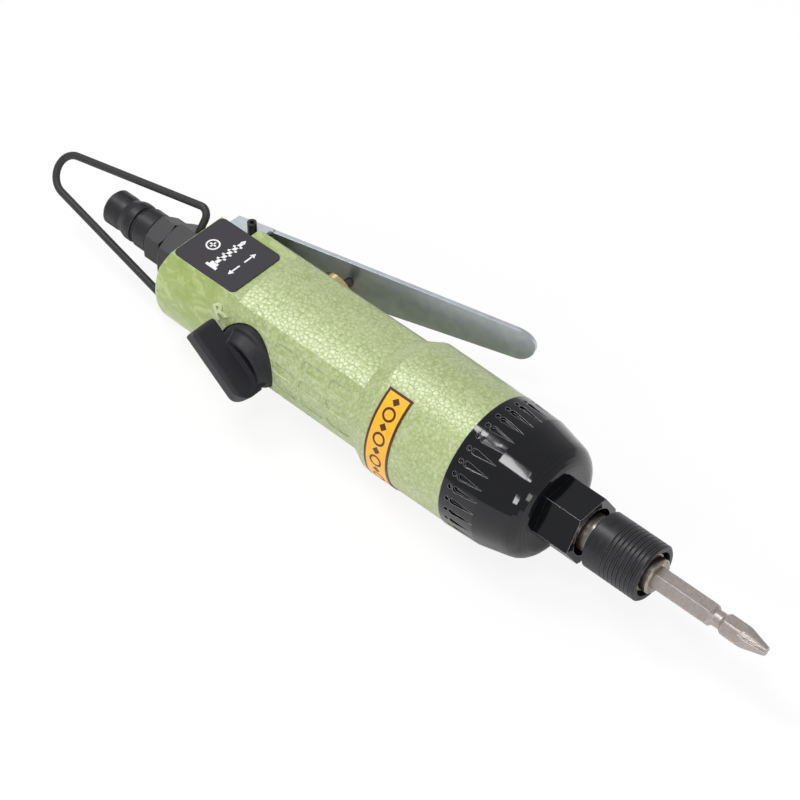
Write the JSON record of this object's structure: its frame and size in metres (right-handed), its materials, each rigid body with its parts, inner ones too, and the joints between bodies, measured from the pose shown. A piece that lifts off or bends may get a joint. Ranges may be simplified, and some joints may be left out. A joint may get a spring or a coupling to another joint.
{
  "type": "pneumatic screwdriver",
  "caption": "Straight lever-start air screwdriver with a reverse knob, hose plug, wire hanging bail, ribbed front cover, quick-change bit sleeve and cross-point bit.",
  "frame": {"origin": "centre of the hose plug's open end, on the tool axis", "axes": "+X along the tool axis towards the bit, +Y towards the lever, +Z out of the name plate"},
  "size_m": [0.2847, 0.0741, 0.0436],
  "materials": {
    "green_enamel": "hammertone enamel",
    "plate_black": "satin film",
    "black_oxide": "black oxide",
    "screen_brass": "woven",
    "bail_wire": "satin black",
    "lever_steel": "zinc plated",
    "valve_brass": "turned",
    "turned_steel": "ground",
    "dark_steel": "heat treated",
    "spring_steel": "drawn",
    "rubber": "matte",
    "knob_black": "fine grain",
    "gasket_fibre": "fibre",
    "vane_composite": "laminate",
    "case_black": "gloss enamel",
    "cover_black": "gloss",
    "bronze": "sintered",
    "anvil_steel": "oiled",
    "bit_steel": "blasted nickel",
    "label_yellow": "printed film",
    "sleeve_black": "black oxide satin"
  },
  "bodies": {
    "housing": {"housing": "green_enamel", "name_plate": "plate_black", "side_label": "label_yellow", "inlet_bushing": "black_oxide", "hose_plug": "black_oxide", "inlet_screen": "screen_brass", "lever_pin": "black_oxide", "valve_bushing": "valve_brass", "valve_spring": "spring_steel", "detent_ball": "turned_steel", "detent_spring": "spring_steel", "rear_end_plate": "turned_steel", "motor_cylinder": "dark_steel", "cylinder_pin": "turned_steel", "front_end_plate": "turned_steel", "case_gasket": "gasket_fibre", "bearing_outer_races": "turned_steel", "hammer_case": "case_black", "case_cover": "cover_black", "nose_bush": "bronze"},
    "lever": {"lever": "lever_steel"},
    "valve": {"valve_stem": "turned_steel", "valve_disc": "rubber"},
    "knob": {"reverse_knob": "knob_black", "reverse_spool": "turned_steel", "spool_o_ring": "rubber"},
    "rotor": {"rotor": "turned_steel", "vanes": "vane_composite", "bearing_inner_races": "turned_steel", "bearing_balls": "turned_steel", "hammer_cage": "dark_steel", "hammer_dogs": "dark_steel", "hammer_pins": "turned_steel"},
    "anvil": {"anvil": "anvil_steel", "bit": "bit_steel", "retaining_ball": "turned_steel", "spring_washer": "anvil_steel", "snap_ring": "dark_steel", "sleeve_spring": "spring_steel"},
    "sleeve": {"sleeve": "sleeve_black"},
    "bail": {"bail": "bail_wire"}
  },
  "joints": [
    {"name": "lever_hinge", "type": "hinge", "parent": "housing", "child": "lever", "pos_m": [0.048, 0.0138, 0], "axis": [0, 0, -1], "range_deg": [0, 9.6], "stiffness_Nm_per_rad": 0.3, "springref_deg": -20.05},
    {"name": "valve_slide", "type": "slide", "parent": "housing", "child": "valve", "axis": [0, -1, 0], "range_m": [0, 0.0054], "deforming": ["valve_spring"]},
    {"name": "knob_turn", "type": "hinge", "parent": "housing", "child": "knob", "pos_m": [0.0776, -0.0146, 0], "axis": [0, -1, 0], "range_deg": [0, 80]},
    {"name": "rotor_spin", "type": "hinge", "parent": "housing", "child": "rotor", "pos_m": [0.0922, 0, 0], "axis": [1, 0, 0], "continuous": true},
    {"name": "anvil_spin", "type": "hinge", "parent": "rotor", "child": "anvil", "pos_m": [0.19, 0, 0], "axis": [1, 0, 0], "range_deg": [-48, 48]},
    {"name": "sleeve_slide", "type": "slide", "parent": "anvil", "child": "sleeve", "axis": [1, 0, 0], "range_m": [0, 0.0028], "stiffness_N_per_m": 1500, "springref_m": -0.002, "deforming": ["sleeve_spring"]},
    {"name": "bail_swing", "type": "hinge", "parent": "housing", "child": "bail", "pos_m": [0.0332, 0, 0], "axis": [0, 0.6293, 0.7771], "range_deg": [-85, 85]}
  ],
  "couplings": [
    {"joint": "valve_slide", "follows": "lever_hinge", "m_per_rad": 0.0315}
  ]
}
